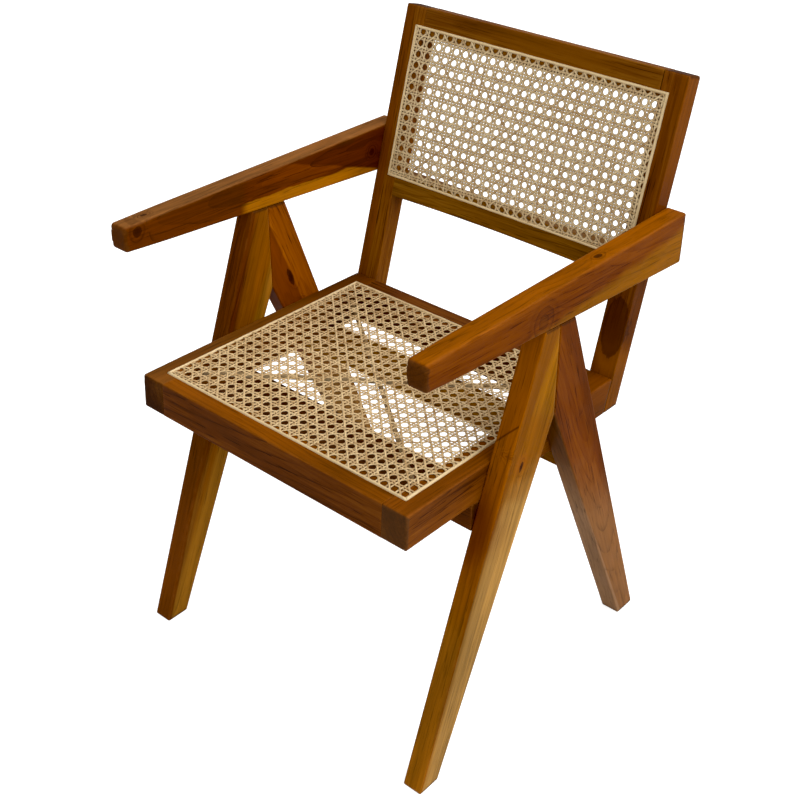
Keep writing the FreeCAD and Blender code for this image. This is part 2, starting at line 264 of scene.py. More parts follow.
grainShape = {"middle": 0.56, "linePower": 7, "lineLeast": 0.1, "yearLeast": 0.25, "poresLate": 0.35,
              "poresTurn": 0.6, "fineHeight": 0.5, "poreHeight": 0.6}


def teakGrainGroup():
    # tone = middle + lift + each part times its amount times its weight, from dark by way of middle to light
    tree, given, result = newGroup("teakGrain", {
        "Vector": "place", "Color": "dark middle light",
        "Float": "seed ringWidth pithAcross pithDeep pithTilt pithSlope figure "
                 "rings clouds streaks fibres dashes ringShift lift",
    }, {"Color": "colour", "Float": "tone height smudge"})

    def centred(place, part):
        # a part's noise, as a swing about nothing
        return calc(tree, "SUBTRACT", noise(tree, place, *grainRates[part]), 0.5)

    def limited(place, part, least=0.0):
        # a part's noise drawn out between its two limits, from least to 1
        return spread(tree, centred(place, part), *grainLimits[part], least, 1.0)

    spin = addNode(tree, "CombineXYZ", {0: given["seed"], 1: given["seed"], 2: given["seed"]}).outputs[0]
    moved = vectorCalc(tree, "ADD", given["place"], vectorCalc(tree, "MULTIPLY", spin, (1.7, 0.31, 0.53)))
    apart = vectorCalc(tree, "ADD", moved, (0.7, 0.3, 0.9))
    part = addNode(tree, "SeparateXYZ", {0: given["place"]}).outputs
    away = []
    for way, start, slope, place in (1, "pithAcross", "pithTilt", moved), (2, "pithDeep", "pithSlope", apart):
        pith = calc(tree, "MULTIPLY_ADD", part[0], given[slope], given[start])
        bent = calc(tree, "MULTIPLY_ADD", centred(place, "bend"), given["figure"], part[way])
        away.append(calc(tree, "SUBTRACT", bent, pith))
    across, deep = away
    radius = calc(tree, "MULTIPLY_ADD", across, across, calc(tree, "MULTIPLY", deep, deep))
    radius = calc(tree, "SQRT", radius)
    count = calc(tree, "ADD", calc(tree, "DIVIDE", radius, given["ringWidth"]), given["ringShift"])
    share = calc(tree, "FRACT", count)
    year = addNode(tree, "TexWhiteNoise", {"W": calc(tree, "FLOOR", count)}, noise_dimensions="1D").outputs[0]
    line = calc(tree, "POWER", share, grainShape["linePower"])
    line = calc(tree, "MULTIPLY", line, limited(apart, "breaks", grainShape["lineLeast"]))
    line = calc(tree, "MULTIPLY", line, spread(tree, year, 0.0, 1.0, grainShape["yearLeast"], 1.0, False))
    fine = centred(moved, "fine")
    late = spread(tree, share, 0.0, grainShape["poresTurn"], 1.0, grainShape["poresLate"])
    pore = calc(tree, "MULTIPLY", limited(apart, "pores"), late)
    dash = calc(tree, "MULTIPLY", limited(apart, "dashes"), limited(moved, "dashGroups"))
    parts = {
        "clouds": (centred(moved, "clouds"), "clouds"), "streaks": (centred(apart, "streaks"), "streaks"),
        "line": (line, "rings"), "year": (calc(tree, "SUBTRACT", year, 0.5), "rings"),
        "fine": (fine, "fibres"), "pore": (pore, "fibres"), "dash": (dash, "dashes"),
    }
    tone = calc(tree, "ADD", given["lift"], grainShape["middle"])
    for key, (value, amount) in parts.items():
        weight = calc(tree, "MULTIPLY", given[amount], grainWeights[key])
        tone = calc(tree, "MULTIPLY_ADD", value, weight, tone)
    tone = calc(tree, "MAXIMUM", calc(tree, "MINIMUM", tone, 1.0), 0.0)
    low = blendColour(tree, calc(tree, "MULTIPLY", tone, 2.0, clamp=True), given["dark"], given["middle"])
    full = blendColour(tree, calc(tree, "MULTIPLY_ADD", tone, 2.0, -1.0, clamp=True), low, given["light"])
    sunk = calc(tree, "MULTIPLY", pore, grainShape["poreHeight"])
    height = calc(tree, "SUBTRACT", calc(tree, "MULTIPLY", fine, grainShape["fineHeight"]), sunk)
    smudge = noise(tree, given["place"], *grainRates["smudge"])
    feed(tree, result, {"colour": full, "tone": tone, "height": height, "smudge": smudge})
    return tree


# A knot's far is the distance from its centre over its size. Its core lies between two limits of far.
knotShape = {"rough": ((90, 190, 190), 3, 0.6), "ragged": 3.6, "haloRate": -0.14, "core": (1.3, 0.4),
             "linePower": 2.5, "fade": (1, 0.7)}


def woodKnotGroup():
    # a knot or a patch: rings crowd round its centre, and its core takes another colour
    tree, given, result = newGroup("woodKnot", {
        "Vector": "place centre stretch", "Float": "size pull reach",
    }, {"Float": "shift core lines"})
    away = vectorCalc(tree, "SUBTRACT", given["place"], given["centre"])
    away = vectorCalc(tree, "MULTIPLY", away, given["stretch"])
    rough = noise(tree, given["place"], *knotShape["rough"])
    far = calc(tree, "DIVIDE", vectorCalc(tree, "LENGTH", away), given["size"])
    ragged = calc(tree, "DIVIDE", knotShape["ragged"] * mm, given["size"])
    far = calc(tree, "MULTIPLY_ADD", calc(tree, "SUBTRACT", rough, 0.5), ragged, far)
    halo = calc(tree, "MULTIPLY", calc(tree, "MULTIPLY", far, far), knotShape["haloRate"])
    shift = calc(tree, "MULTIPLY", calc(tree, "EXPONENT", halo), given["pull"])
    core = spread(tree, far, *knotShape["core"])
    turns = calc(tree, "POWER", calc(tree, "FRACT", far), knotShape["linePower"])
    fade = spread(tree, calc(tree, "DIVIDE", far, given["reach"]), *knotShape["fade"])
    feed(tree, result, {"shift": shift, "core": core, "lines": calc(tree, "MULTIPLY", turns, fade)})
    return tree


swayRates = (22, 4, 4)
wearAndHighlightSpeckle = {"noise": ((45, 90, 90), 4, 0.65), "limits": (0.3, 0.72)}


def sapBandGroup():
    # a band of sapwood, and on the rear leg's front face a painted sheen: everything beyond a border that
    # sways along the board
    tree, given, result = newGroup("sapBand", {
        "Vector": "place towards", "Float": "border wave soft seed",
    }, {"Float": "mask"})
    slow = vectorCalc(tree, "MULTIPLY", given["place"], swayRates)
    slow = vectorCalc(tree, "ADD", slow, addNode(tree, "CombineXYZ", {0: given["seed"]}).outputs[0])
    sway = calc(tree, "SUBTRACT", noise(tree, slow, (1, 1, 1), 3), 0.5)
    reach = vectorCalc(tree, "DOT_PRODUCT", given["place"], given["towards"])
    reach = calc(tree, "MULTIPLY_ADD", sway, given["wave"], reach)
    beyond = calc(tree, "DIVIDE", calc(tree, "SUBTRACT", reach, given["border"]), given["soft"])
    feed(tree, result, {"mask": spread(tree, beyond, -1.0, 1.0)})
    return tree


def edgeWearAndHighlightGroup():
    # lacquer rubbed thin, lightened also as a painted highlight on the eased edges: edge times amount times a
    # speckle
    tree, given, result = newGroup("edgeWearAndHighlight", {"Vector": "place", "Float": "edge amount"}, {"Float": "mask"})
    patch = spread(tree, noise(tree, given["place"], *wearAndHighlightSpeckle["noise"]), *wearAndHighlightSpeckle["limits"])
    reach = calc(tree, "MULTIPLY", given["edge"], patch)
    feed(tree, result, {"mask": calc(tree, "MULTIPLY", reach, given["amount"], clamp=True)})
    return tree


teakGrain, woodKnot = teakGrainGroup(), woodKnotGroup()
sapBand, edgeWearAndHighlight = sapBandGroup(), edgeWearAndHighlightGroup()
print("shader groups made")

# What all boards share: seasoned teak under a thin satin lacquer. Colours are as the eye sees them, and
# lengths in mm. A mark is (place along, across and deep), size, stretch, colour, strength, pull on the rings
# and, where it isn't the usual one, the reach of its lines. A band is its direction, border, wave, softness
# and colour, and it covers what came before it: mostly sapwood, and on the rear leg's front face a painted
# sheen.
goldTeak = {"dark": (70, 38, 14), "middle": (130, 80, 22), "light": (180, 126, 44)}
deepTeak = {"dark": (48, 24, 12), "middle": (94, 49, 18), "light": (134, 80, 26)}
teakLook = {
    "dark": (58, 26, 12), "middle": (112, 60, 18), "light": (156, 97, 28), "ringWidth": 7, "pithAcross": 30,
    "pithDeep": 60, "pithTilt": 0.03, "pithSlope": 0.05, "figure": 12, "rings": 0.55, "clouds": 0.52,
    "streaks": 0.5, "fibres": 0.45, "dashes": 0.6, "lift": 0, "marks": (), "sap": (),
    # the pale edge tone is partly wear and partly a painted highlight
    "wornAndHighlit": (188, 120, 62), "wearAndHighlight": 0.1, "endTone": (44, 22, 8), "endShares": (0.85, 0.25),
    "lineTone": (48, 20, 6), "reach": 3.3, "sapTones": (0.66, 1.1), "roughness": (0.38, 0.52),
    "bump": (0.1, 0.6), "sheen": 0.03,
}


def teakMaterial(name, seed, **changes):
    # grain, then the bands, the marks, the end grain and the worn edges with their painted highlight, each
    # laid over what came before
    look = {**teakLook, **changes}
    material, tree, shader = newMaterial(name)
    place = mark(tree, "grainPlace", "Vector")
    shift, cores = 0.0, []
    for centre, size, stretch, tone, strength, pull, *reach in look["marks"]:
        knot = useGroup(tree, woodKnot, place=place, centre=[c * mm for c in centre], size=size * mm,
                        stretch=stretch, pull=float(pull), reach=(*reach, look["reach"])[0])
        shift = calc(tree, "ADD", shift, knot["shift"])
        cores.append((knot["core"], knot["lines"], tone, strength, pull))
    tones = {tone: tint(*look[tone]) for tone in ("dark", "middle", "light")}
    lengths = {key: look[key] * mm for key in ("ringWidth", "pithAcross", "pithDeep", "figure")}
    plainKeys = ("pithTilt", "pithSlope", "rings", "clouds", "streaks", "fibres", "dashes", "lift")
    plain = {key: look[key] for key in plainKeys}
    grain = useGroup(tree, teakGrain, place=place, seed=float(seed), ringShift=shift,
                     **tones, **lengths, **plain)
    colour = grain["colour"]
    for towards, border, wave, soft, tone in look["sap"]:
        band = useGroup(tree, sapBand, place=place, towards=towards, border=border * mm, wave=wave * mm,
                        soft=soft * mm, seed=float(seed))
        dull, bright = (tint(*(share * c for c in tone)) for share in look["sapTones"])
        colour = blendColour(tree, band["mask"], colour, blendColour(tree, grain["tone"], dull, bright))
    for core, lines, tone, strength, pull in cores:
        if pull:
            lined = calc(tree, "MULTIPLY", lines, strength)
            colour = blendColour(tree, lined, colour, tint(*look["lineTone"]))
        colour = blendColour(tree, calc(tree, "MULTIPLY", core, strength), colour, tint(*tone))
    covered, streaked = look["endShares"]
    streaked = calc(tree, "MULTIPLY", grain["tone"], streaked)
    endTone = blendColour(tree, streaked, tint(*look["endTone"]), colour)
    colour = blendColour(tree, calc(tree, "MULTIPLY", mark(tree, "endGrain"), covered), colour, endTone)
    # worn edges lightened both as wear and as a painted highlight on the rims
    wornAndHighlit = useGroup(tree, edgeWearAndHighlight, place=place, edge=mark(tree, "edgeMark"), amount=look["wearAndHighlight"])["mask"]
    colour = blendColour(tree, wornAndHighlit, colour, tint(*look["wornAndHighlit"]))
    finishShader(tree, shader, colour, grain["smudge"], look["roughness"], (*look["bump"], grain["height"]))
    feed(tree, shader, {"Specular IOR Level": look["sheen"]})
    return material


# Boards: a side outline with rounded corners, swept across the chair with eased rims. A ring of the sweep
# is the outline drawn in by (1 - sin a) of the rim's radius, and it stands (1 - cos a) of that radius in
# from the end face. Guards are narrow strips that keep faces flat.
boardShape = {"arcSteps": 7, "runSteps": 16, "rimSteps": 5, "middles": 5, "crossMiddles": 25, "guard": 3,
              "hair": 0.05, "gap": 0.5, "softRim": 0.75, "ease": 9, "edgeTurn": 0.5, "edgeLeast": 0.55,
              "edgeMore": 0.45, "edgeCorner": 0.6, "endFrom": 0.62, "endRise": 6, "endRings": 3}


def makeBoard(node, material, rims=(1.6, 1.6), corner=1.8, soft=None, crosswise=False, arch=0.0):
    # soft gives the corner furthest towards a direction a radius of its own, and arch lifts one long side
    corners = sideOutline(node)
    low, high = (np.array(c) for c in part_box(node))
    guard, hair = boardShape["guard"] * mm, boardShape["hair"] * mm
    arcSteps, runSteps = boardShape["arcSteps"], boardShape["runSteps"]
    radii = np.full(len(corners), corner * mm)
    rimLow, rimHigh = (np.full(len(corners), rim * mm) for rim in rims)
    for towards, radius in (soft or {}).items():
        pick = (corners @ np.array(towards, float)).argmax()
        radii[pick] = radius * mm
        for rim, plainRim in zip((rimLow, rimHigh), rims):
            if plainRim > 1:
                rim[pick] = max(rim[pick], boardShape["softRim"] * radius * mm)
    radii = np.maximum(radii, np.maximum(rimLow, rimHigh))
    before, after = np.roll(corners, 1, axis=0), np.roll(corners, -1, axis=0)
    runIn, runOut = unit(corners - before), unit(after - corners)
    faceIn = np.stack([runIn[:, 1], -runIn[:, 0]], axis=1)
    faceOut = np.stack([runOut[:, 1], -runOut[:, 0]], axis=1)
    turning = np.arccos(np.clip((faceIn * faceOut).sum(axis=1), -1, 1))
    bisector = unit(faceIn + faceOut)
    stretch = 1 / np.cos(turning / 2)
    centres = corners - bisector * (radii * stretch)[:, None]
    angles = np.arctan2(faceIn[:, 1], faceIn[:, 0])[:, None] + turning[:, None] * np.linspace(0, 1, arcSteps)
    arcFaces = np.stack([np.cos(angles), np.sin(angles)], axis=-1)
    gap = guard * np.maximum(np.tan(turning / 2), 0.5) + boardShape["gap"] * mm
    runStart = centres + faceOut * radii[:, None] + runOut * gap[:, None]
    runEnd = np.roll(centres + faceIn * radii[:, None] - runIn * gap[:, None], -1, axis=0)
    share = np.linspace(0, 1, runSteps)
    runPlaces = runStart[:, None] + (runEnd - runStart)[:, None] * share[:, None]
    ease = np.clip(1 - np.minimum(share, 1 - share) * boardShape["ease"], 0, 1)

    def rimAlong(values, base):
        # a rim's radius round the loop: its corner value, which eases to the plain one along each side
        nearer = np.where(share[None, :] < 0.5, values[:, None], np.roll(values, -1)[:, None])
        sides = base + (nearer - base) * ease
        return np.concatenate([np.repeat(values[:, None], arcSteps, axis=1), sides], axis=1)

    def ring(inset):
        # the loop drawn in by inset, which has one value for each of its points
        arc, run = inset[:, :arcSteps], inset[:, arcSteps:]
        turnIn = np.maximum(radii[:, None] - arc, hair)[..., None] * arcFaces
        past = (np.maximum(arc - radii[:, None], 0) * stretch[:, None])[..., None] * bisector[:, None]
        sides = runPlaces - run[..., None] * faceOut[:, None]
        return np.concatenate([centres[:, None] + turnIn - past, sides], axis=1)

    turnShare = np.linspace(boardShape["edgeTurn"], np.pi - boardShape["edgeTurn"], arcSteps)
    arcEdge = np.repeat(np.sin(turnShare)[None], len(corners), axis=0)
    loopEdge = np.concatenate([arcEdge, np.zeros((len(corners), runSteps))], axis=1)

    def rimRings(values, plainRim, face, inwards):
        # from the end face round the rim to the side: each ring, its place across the chair and its edge mark
        rim = rimAlong(values, min(radii.min(), plainRim * mm))
        steps = [(1 + guard / np.maximum(rim, hair), 0, 0)]
        for a in np.linspace(0, math.pi / 2, boardShape["rimSteps"]):
            edge = boardShape["edgeLeast"] + boardShape["edgeMore"] * math.sin(2 * a)
            steps.append((1 - math.sin(a), 1 - math.cos(a), edge))
        return [(ring(inset * rim), face + inwards * depth * rim,
                 np.maximum(edge, loopEdge * (edge > 0)) + boardShape["edgeCorner"] * loopEdge * edge)
                for inset, depth, edge in steps]

    first = rimRings(rimLow, rims[0], low[0], 1)
    last = rimRings(rimHigh, rims[1], high[0], -1)[::-1]
    inner = ring(np.zeros((len(corners), arcSteps + runSteps)))
    startX, endX = first[-1][1] + guard, last[0][1] - guard
    between = [(inner, startX + (endX - startX) * middle, loopEdge)
               for middle in np.linspace(0, 1, boardShape["crossMiddles" if crosswise else "middles"])]
    rings, depths, edges = zip(*first, *between, *last)
    side = np.stack(rings).reshape(len(rings), -1, 2)
    depth = np.stack(depths).reshape(len(rings), -1)
    points = np.concatenate([depth[..., None], side], axis=-1).reshape(-1, 3)
    around = side.shape[1]
    index = np.arange(len(rings) * around).reshape(len(rings), around)
    quads = tubeFaces(index, np.arange(len(rings) - 1))[:, [0, 3, 2, 1]]
    caps = [index[:1, ::-1], index[-1:]]
    # the grain runs along the outline's long way, or across the chair
    main = np.linalg.svd(corners - corners.mean(axis=0), full_matrices=False)[2][0]
    main = main * (1 if main.sum() > 0 else -1)
    away = points - (low + high) / 2
    longWay, otherWay = away[:, 1:] @ main, away[:, 1:] @ np.array([-main[1], main[0]])
    if crosswise:
        grainPlace = np.stack([away[:, 0], longWay, otherWay], axis=1)
        fromMiddle = np.abs(np.arange(len(rings)) - (len(rings) - 1) / 2)
        endMark = np.repeat((fromMiddle > len(rings) / 2 - boardShape["endRings"]) * 1.0, around)
    else:
        grainPlace = np.stack([longWay, otherWay, away[:, 0]], axis=1)
        loopFaces = np.concatenate([arcFaces, np.repeat(faceOut[:, None], runSteps, axis=1)], axis=1)
        endShare = np.abs(loopFaces.reshape(-1, 2) @ main)
        onSide = np.array([ringEdge.max() > 0 for ringEdge in edges])
        endShare = np.clip((endShare - boardShape["endFrom"]) * boardShape["endRise"], 0, 1)
        endMark = (endShare[None] * onSide[:, None]).ravel()
    if arch:
        rise = arch * mm * (1 - (2 * away[:, 0] / (high[0] - low[0])) ** 2)
        share = np.clip((longWay.max() - longWay) / np.ptp(longWay), 0, 1)
        points[:, 1:] += (rise * share)[:, None] * main
    marks = {"grainPlace": grainPlace, "edgeMark": np.stack(edges).ravel(), "endGrain": endMark}
    return makePiece(node + "_board", points, quads, caps, marks, material, "teak", node)


wide, slit, eye = (0.9, 0.9, 0.3), (0.45, 1.0, 0.3), (0.5, 0.15, 1.0)

# The arms
armShape = {"rims": (2.4, 2.4), "corner": 2.6,
            "soft": {(-1, 1): 5.5, (-1, -1): 6, (1, 1): 3.5, (1, -1): 3.5}}
makeBoard("armrest_left", teakMaterial(
    "armLeftTeak", 3, dark=(60, 22, 2), middle=(102, 48, 3), light=(130, 68, 5), pithAcross=55, pithDeep=-30,
    pithTilt=-0.06, pithSlope=0.03, endTone=(64, 38, 18),
    marks=(((76, 38, 0), 3.6, eye, (52, 22, 6), 0.85, 2.4, 2.2),
           ((-49, 0, 14), 9, wide, (88, 44, 4), 0.5, 3)),
    sap=(((0.12, -1, 0.1), 10, 15, 8, (142, 86, 6)),
         ((-0.0352, 1, 0), 34.6, 1.5, 1.5, (136, 74, 7)))), **armShape)
makeBoard("armrest_right", teakMaterial(
    "armRightTeak", 8, dark=(68, 29, 7), middle=(113, 53, 8), light=(140, 74, 12), pithAcross=20, pithDeep=40,
    pithTilt=0.02, pithSlope=-0.07, endTone=(80, 43, 14),
    marks=(((-241, 16, 14), 6.2, wide, (46, 20, 7), 0.85, 2.2, 2.2),
           ((-219, 28, 0), 2.6, eye, (40, 18, 8), 0.8, 1.2),
           ((200, 8, 14), 4.5, wide, (48, 20, 6), 0.8, 2),
           ((144, 36, 14), 4.6, (0.2, 1, 0.4), (62, 34, 10), 0.5, 0)),
    sap=(((-0.02, -1, 0.3), 4.5, 10, 0.8, (176, 108, 14)), ((-1, 0, 0), 56, 6, 9, (104, 50, 6)),
         ((0.305, 1, 0), 43.7, 6, 2, (92, 40, 6)),
         ((-0.0352, 1, 0), 34.6, 1.5, 1.5, (146, 94, 46)))), **armShape)

# The V legs
legShape = {"rims": (2, 2), "corner": 2.2}
frontLegShape = {**legShape, "soft": {(-1, -1): 2.8, (0.2, -1): 2.8}}
rearLegShape = {**legShape, "soft": {(1, -1): 2.8, (-0.2, -1): 2.8}}
makeBoard("front_leg_left", teakMaterial(
    "frontLegLeftTeak", 12, **goldTeak, lift=-0.02, pithAcross=40, pithDeep=-25, pithSlope=0.02, clouds=0.6,
    marks=(((140, -8, 12), 13, wide, (146, 80, 10), 0.6, 0),
           ((136, -10, 14), 3.2, slit, (38, 15, 6), 0.9, 2.6, 2),
           # this dark patch on the front face, just below the seat rail, is painted shade
           ((45, 18, -10), 22, (0.42, 0.3, 0.8), (92, 38, 2), 0.75, 0),
           ((150, 17.5, 10), 2, wide, (84, 38, 6), 0.35, 2.6, 2.4)),
    sap=(((-0.02, -0.5, 1), 6, 7, 3, (154, 96, 3)), ((-1, 0.3, 0), -215, 40, 22, (144, 85, 5)),
         ((-1, -0.5, 0), -92, 60, 45, (182, 135, 68)), ((-0.0177, 1, 0), 8, 3, 6, (156, 106, 38)),
         ((0.08, 1, 0), 15, 3, 6, (126, 72, 6)), ((-0.0177, 1, 0), 14.3, 1, 1, (140, 76, 4)),
         ((-4.62, 200, 1.15), 2940, 8, 2, (70, 32, 4)), ((-4.62, 200, 1.15), 2942.5, 8, 2, (142, 78, 4)),
         ((-4.62, 200, 0), 3185, 60, 60, (160, 98, 20)))), **frontLegShape)
makeBoard("front_leg_right", teakMaterial(
    "frontLegRightTeak", 17, dark=(62, 26, 6), middle=(98, 47, 8), light=(134, 80, 18), pithDeep=-40,
    sap=(((-1, -12, 0), 20, 40, 60, (130, 80, 24)), ((0.03, -1, 0.3), 3, 8, 7, (142, 82, 12)),
         ((-1, -12, 0), 210, 40, 80, (156, 103, 29)), ((-0.03, 1, 0), 14, 1, 2, (107, 56, 13)))),
    **frontLegShape)
# the rear leg's front face, grey-brown and paler towards the foot: painted sheen of the light around it
rearFaceSheen = (((-0.055, 1, 0), 41.8, 1, 1, (112, 70, 32)),
            ((-4.3, 60, 0), 2510, 60, 80, (162, 121, 85)))
makeBoard("rear_leg_left", teakMaterial(
    "rearLegLeftTeak", 21, dark=(62, 26, 4), middle=(106, 50, 3), light=(136, 74, 6), pithAcross=10,
    pithDeep=-22, pithTilt=-0.02, pithSlope=0.1, ringWidth=5, clouds=0.5, streaks=0.35,
    sap=(((0, -1, 0), -3, 4, 8, (96, 44, 3)),
         ((-1, 1.6, 0), 30, 60, 90, (140, 93, 52)), *rearFaceSheen)), **rearLegShape)
makeBoard("rear_leg_right", teakMaterial(
    "rearLegRightTeak", 26, dark=(62, 27, 8), middle=(132, 68, 8), light=(162, 90, 14), pithAcross=24,
    pithDeep=30, pithSlope=0.08, clouds=0.6,
    marks=(((194, 20, 14), 4.6, (0.3, 1, 0.3), (44, 18, 6), 0.9, 2, 1.2),),
    sap=(((-0.02, 1, 0), 12.5, 7, 1.5, (112, 54, 8)),
         ((-1, 0, 0), -20, 60, 60, (140, 96, 44)))), **rearLegShape)

# The back frame
postShape = {"rims": (1.6, 1.6), "corner": 1.8, "soft": {(1, 1): 3.5, (-1, 1): 2.6}}
makeBoard("back_post_left", teakMaterial(
    "postLeftTeak", 31, dark=(54, 25, 9), middle=(104, 54, 14), light=(146, 88, 22), pithDeep=-30,
    marks=(((-150, 14, 2), 15, (0.42, 0.3, 0.8), (138, 77, 14), 0.8, 0),
           ((-113, 14, 2), 12, (0.28, 0.3, 0.7), (72, 34, 9), 0.85, 0.7, 1.2)),
    sap=(((0, 0, 1), 15.5, 2, 1.5, (104, 52, 7)), ((-0.6, 0, 1), 108, 10, 8, (128, 70, 10)),
         ((1, 0, 10), 280, 20, 50, (124, 67, 12)))), **postShape)
makeBoard("back_post_right", teakMaterial(
    "postRightTeak", 35, dark=(56, 28, 8), middle=(104, 55, 12), light=(140, 85, 20),
    sap=(((0, 0.3, -1), 6, 6, 2, (110, 58, 10)),)), **postShape)
railShape = {"rims": (0.5, 0.5), "corner": 1.6, "crosswise": True}
makeBoard("back_top_rail", teakMaterial(
    "topRailTeak", 41, dark=(58, 28, 9), middle=(107, 60, 15), light=(142, 92, 24), pithAcross=-30,
    marks=(((20, 0, 0), 60, (0.5, 0.8, 0.3), (128, 76, 14), 0.5, 0),)), **railShape)
makeBoard("back_lower_rail", teakMaterial(
    "lowerRailTeak", 44, dark=(66, 38, 10), middle=(122, 77, 20), light=(162, 116, 36)),
    arch=3.5, **railShape)

# The seat frame
sideShape = {"corner": 1.8, "soft": {(-1, 1): 3.6, (-1, -1): 2.2}}
rearSap = ((1, 0, 0), 95, 20, 45, (102, 53, 9))
sideTeak = {"dark": (62, 30, 12), "middle": (114, 62, 18), "light": (150, 92, 28), "clouds": 0.7,
            "streaks": 0.3, "dashes": 0.4, "rings": 0.4}
makeBoard("seat_side_rail_left", teakMaterial(
    "sideRailLeftTeak", 51, **sideTeak, endTone=(72, 48, 28),
    sap=(((0, 1, 0), 23, 1, 1.5, (138, 74, 16)), rearSap)), rims=(0.6, 2), **sideShape)
makeBoard("seat_side_rail_right", teakMaterial(
    "sideRailRightTeak", 55, **sideTeak, endTone=(39, 19, 8),
    sap=(((0, 1, 0), 23, 1, 1.5, (121, 72, 26)), rearSap)), rims=(2, 0.6), **sideShape)
makeBoard("seat_front_rail", teakMaterial(
    "frontRailTeak", 61, dark=(52, 26, 12), middle=(98, 51, 17), light=(136, 80, 26), streaks=0.36,
    dashes=0.35, sap=(((0, 1, 0), 23.5, 1.5, 1.5, (132, 72, 13)),)), **railShape)
makeBoard("seat_back_rail", teakMaterial("backRailTeak", 64, **deepTeak), **railShape)
stretcherShape = {**railShape, "rims": (1.2, 1.2)}
makeBoard("front_stretcher", teakMaterial("frontStretcherTeak", 71, **deepTeak), **stretcherShape)
makeBoard("rear_stretcher", teakMaterial("rearStretcherTeak", 75, **goldTeak), **stretcherShape)
print("boards made")


# Cane: what all strands and splines are made of
caneLook = {"streak": ((60, 2600, 90), 3, 0.6), "cloud": ((26, 60, 11), 2), "clouds": 1.1,
            "edge": (0.5, 1.05), "edgeShadeTone": 0.42, "swing": 0.07, "bump": (0.25, 0.3)}


def caneFibreGroup():
    # from tan to pale by the strand's tone plus a streak and a cloud, and darker towards the strand's edges
    # as painted shade
    tree, given, result = newGroup("caneFibre", {
        "Vector": "place", "Color": "pale tan rim", "Float": "tone fibre halfWidth shade",
    }, {"Color": "colour", "Float": "streak"})
    streak, cloud = (noise(tree, given["place"], *caneLook[key]) for key in ("streak", "cloud"))
    share = calc(tree, "MULTIPLY_ADD", calc(tree, "SUBTRACT", streak, 0.5), given["fibre"], given["tone"])
    cloud = calc(tree, "SUBTRACT", cloud, 0.5)
    share = calc(tree, "MULTIPLY_ADD", cloud, caneLook["clouds"], share, clamp=True)
    colour = blendColour(tree, share, given["tan"], given["pale"])
    aside = calc(tree, "ABSOLUTE", addNode(tree, "SeparateXYZ", {0: given["place"]}).outputs[1])
    aside = calc(tree, "DIVIDE", aside, given["halfWidth"])
    edge = spread(tree, aside, *caneLook["edge"], 0.0, given["shade"])
    feed(tree, result, {"colour": blendColour(tree, edge, colour, given["rim"]), "streak": streak})
    return tree


caneFibre = caneFibreGroup()


def caneMaterial(name, pale, tan, roughness, fibre, halfWidth=1.4, shade=0.8):
    # fibres whose streaks also swing the roughness and raise the bumps
    material, tree, shader = newMaterial(name)
    rim = tint(*(caneLook["edgeShadeTone"] * c for c in tan))
    made = useGroup(tree, caneFibre, place=mark(tree, "strandPlace", "Vector"), tone=mark(tree, "strandTone"),
                    pale=tint(*pale), tan=tint(*tan), rim=rim, fibre=fibre, halfWidth=halfWidth * mm,
                    shade=shade)
    rough = roughness - caneLook["swing"], roughness + caneLook["swing"]
    finishShader(tree, shader, made["colour"], made["streak"], rough, (*caneLook["bump"], made["streak"]))
    return material


seatPlane = facePlane("seat_side_rail_left", (0, 1))
backPlane = facePlane("back_post_left", (-1, 0))
splineCane = caneMaterial("splineCane", (228, 204, 158), (196, 164, 112), 0.42, 0.9, halfWidth=2.6, shade=0.4)
seatCane = caneMaterial("seatCane", (228, 198, 148), (168, 126, 72), 0.45, 1.0)
# the back's cane is the seat's cane painted paler: painted light that lifts the upright sheet, which the
# lamps light less than the seat
backCanePaintedLight = caneMaterial("backCanePaintedLight", (230, 204, 156), (178, 140, 88), 0.45, 1.0)


# Splines: a dome carried between two mitres, across by share s and along by share t. The dome is
# 1 - (2s - 1) squared, raised to its fullness, and both its height and its line waver a little.
splineShape = {"rise": 2.4, "skirt": 0.8, "fullness": 0.62, "uneven": 0.066, "unevenWave": 0.045,
               "wander": 0.22, "wanderWave": 0.06, "calm": 0.3, "broad": 4.5, "tone": 0.6,
               "across": 11, "along": 90}


def makeSpline(node, plane, outer, inner, seed):
    # outer and inner are the two corners of each long side, in x and v
    s = 0.5 - 0.5 * np.cos(np.linspace(0, np.pi, splineShape["across"]))
    t = np.linspace(0, 1, splineShape["along"])
    first, last = (outer[end] + (inner[end] - outer[end]) * s[:, None] for end in (0, 1))
    places = first + (last - first) * t[:, None, None]
    far = t * np.linalg.norm(outer[1] - outer[0])
    sideways = unit((inner.mean(axis=0) - outer.mean(axis=0))[None])[0]
    wander = waver(far, seed, splineShape["wander"] * mm, splineShape["wanderWave"])
    places = places + (wander * np.sin(np.pi * t) ** splineShape["calm"])[:, None, None] * sideways
    lift = 1 + waver(far, seed + 1, splineShape["uneven"], splineShape["unevenWave"])
    dome = np.clip(1 - (2 * s - 1) ** 2, 0, 1) ** splineShape["fullness"]
    skirt, rise = splineShape["skirt"] * mm, splineShape["rise"] * mm
    height = (rise + skirt) * dome * lift[:, None] - skirt
    points = toSpace(plane, places[..., 0], places[..., 1], height).reshape(-1, 3)
    index = np.arange(len(points)).reshape(len(t), len(s))
    quads = tubeFaces(index, np.arange(len(t) - 1))
    caps = [index[:1], index[-1:, ::-1]]
    if np.cross(np.append(outer[1] - outer[0], 0), np.append(sideways, 0))[2] < 0:
        quads, caps = quads[:, ::-1], [cap[:, ::-1] for cap in caps]
    aside = np.tile((s - 0.5) * splineShape["broad"] * mm, len(t))
    strandPlace = np.stack([np.repeat(far, len(s)), aside, np.full(len(points), float(seed))], axis=1)
    marks = {"strandPlace": strandPlace, "strandTone": np.full(len(points), splineShape["tone"])}
    return makePiece(node + "_cane", points, quads, caps, marks, splineCane, "spline", node)


